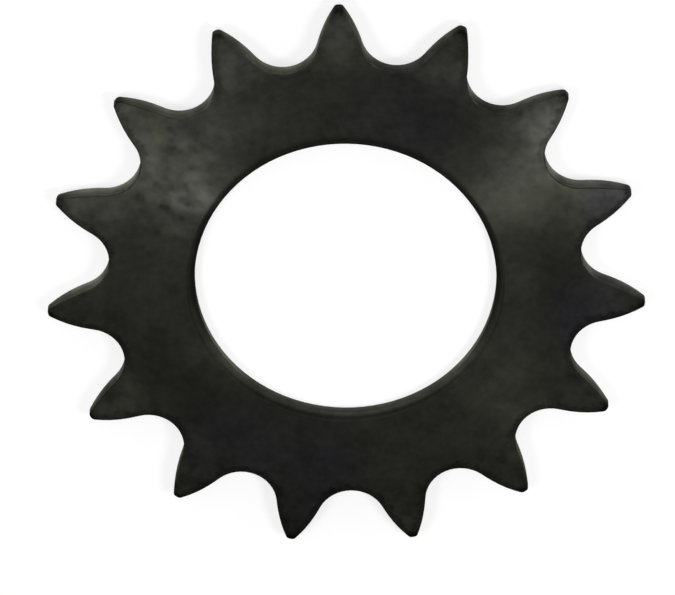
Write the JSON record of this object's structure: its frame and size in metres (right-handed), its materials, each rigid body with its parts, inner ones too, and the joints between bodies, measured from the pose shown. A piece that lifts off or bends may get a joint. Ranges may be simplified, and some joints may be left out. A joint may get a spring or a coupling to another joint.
{
  "type": "chain sprocket",
  "caption": "Flat steel sprocket plate for narrow roller chain, with relieved teeth round a large plain chamfered bore, to be welded to a tubular hub.",
  "frame": {"origin": "centre of the bore, halfway through the plate", "axes": "+Z along the bore, out of the front face, the side of the bore's wide chamfer; +Y towards one tooth; +X to the right of it"},
  "size_m": [0.067, 0.0667, 0.0022],
  "materials": {
    "black_oxide_steel": "satin black oxide on turned steel, with soft lighter and darker patches"
  },
  "bodies": {
    "root": {"sprocket": "black_oxide_steel"}
  },
  "joints": []
}
